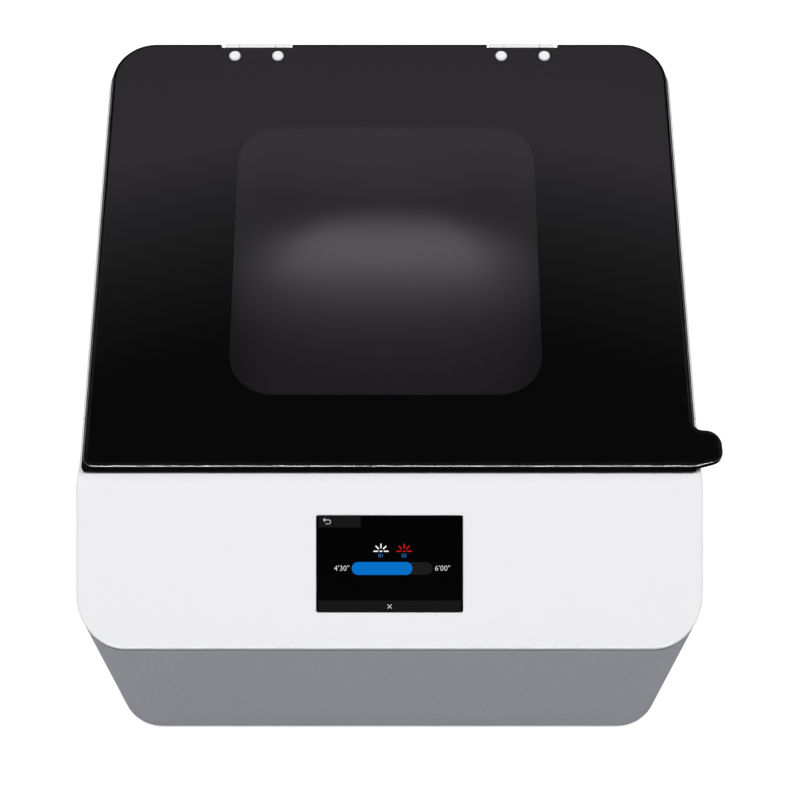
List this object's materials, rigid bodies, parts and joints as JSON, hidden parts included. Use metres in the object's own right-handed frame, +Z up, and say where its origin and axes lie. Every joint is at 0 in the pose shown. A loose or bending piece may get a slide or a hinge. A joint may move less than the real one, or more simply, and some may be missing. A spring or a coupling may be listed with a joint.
{
  "type": "light curing unit",
  "caption": "Bench-top dental light curing unit: sloping touch-screen console, hinged tinted lid over a square lit chamber, and a geared turntable inside.",
  "frame": {"origin": "on the bench under the middle of the housing, in the plane of the feet", "axes": "+Z up, the console faces -Y, +X to the right seen from the front"},
  "size_m": [0.3297, 0.3496, 0.2129],
  "materials": {
    "grey_housing": "fine moulded grain",
    "white_cover": "satin",
    "tinted_plate": "polished",
    "black_plastic": "satin",
    "black_rubber": "matt",
    "display_glass": "polished",
    "steel_sheet": "zinc plated",
    "white_paint": "satin",
    "polished_liner": "polished",
    "clear_pane": "polished",
    "plain_aluminium": "sawn and etched",
    "circuit_board": "solder resist",
    "light_source": "clear lens",
    "frosted_tray": "frosted",
    "ground_steel": "ground",
    "sintered_bronze": "oiled",
    "ivory_plastic": "satin",
    "motor_steel": "zinc plated",
    "plated_contact": "bright",
    "switch_plastic": "satin"
  },
  "bodies": {
    "housing": {"base_housing": "grey_housing", "base_plate": "steel_sheet", "base_screws": "steel_sheet", "chamber_liner": "polished_liner", "control_board": "circuit_board", "display_bracket": "steel_sheet", "display_glass": "display_glass", "display_module": "display_glass", "drive_plate": "steel_sheet", "drive_posts": "plain_aluminium", "fan_frame": "black_plastic", "fan_guard": "motor_steel", "fan_screws": "steel_sheet", "foot_front_left": "black_rubber", "foot_front_right": "black_rubber", "foot_rear_left": "black_rubber", "foot_rear_right": "black_rubber", "front_console": "white_cover", "gear_motor": "motor_steel", "heat_sink_front": "plain_aluminium", "heat_sink_left": "plain_aluminium", "heat_sink_rear": "plain_aluminium", "heat_sink_right": "plain_aluminium", "hinge_base_left": "white_paint", "hinge_base_right": "white_paint", "hinge_pins": "ground_steel", "hinge_seat_screws": "steel_sheet", "inlet_blades": "plated_contact", "inlet_screws": "steel_sheet", "led_array_front": "light_source", "led_array_left": "light_source", "led_array_rear": "light_source", "led_array_right": "light_source", "led_board_front": "circuit_board", "led_board_left": "circuit_board", "led_board_rear": "circuit_board", "led_board_right": "circuit_board", "lid_sensor": "black_plastic", "light_panes": "clear_pane", "lower_bush": "sintered_bronze", "power_inlet": "black_plastic", "power_supply": "plain_aluminium", "switch_body": "black_plastic", "top_cover": "white_cover", "upper_bush": "sintered_bronze"},
    "lid": {"lid_panel": "tinted_plate", "lid_frame": "black_plastic", "lid_seal": "black_rubber", "lid_magnet": "plated_contact", "lid_screws": "white_paint", "hinge_leaf_left": "white_paint", "hinge_leaf_right": "white_paint"},
    "turntable": {"turntable_tray": "frosted_tray", "turntable_hub": "plain_aluminium", "turntable_shaft": "ground_steel", "turntable_gear": "ivory_plastic"},
    "drive_pinion": {"motor_pinion": "ivory_plastic", "motor_shaft": "ground_steel"},
    "fan_rotor": {"fan_rotor": "black_plastic"},
    "power_rocker": {"switch_rocker": "switch_plastic"}
  },
  "joints": [
    {"name": "lid_hinge", "type": "hinge", "parent": "housing", "child": "lid", "pos_m": [0, 0.1686, 0.2046], "axis": [-1, 0, 0], "range_deg": [0, 95]},
    {"name": "turntable_spin", "type": "hinge", "parent": "housing", "child": "turntable", "pos_m": [-0.002, 0.034, 0.1], "axis": [0, 0, 1], "continuous": true},
    {"name": "pinion_spin", "type": "hinge", "parent": "housing", "child": "drive_pinion", "pos_m": [-0.002, -0.006, 0.085], "axis": [0, 0, 1], "continuous": true},
    {"name": "fan_spin", "type": "hinge", "parent": "housing", "child": "fan_rotor", "pos_m": [-0.08, 0.157, 0.06], "axis": [0, 1, 0], "continuous": true},
    {"name": "power_switch", "type": "hinge", "parent": "housing", "child": "power_rocker", "pos_m": [0.052, 0.1716, 0.045], "axis": [-1, 0, 0], "range_deg": [0, 18]}
  ],
  "couplings": [
    {"joint": "pinion_spin", "follows": "turntable_spin", "ratio": -3}
  ]
}
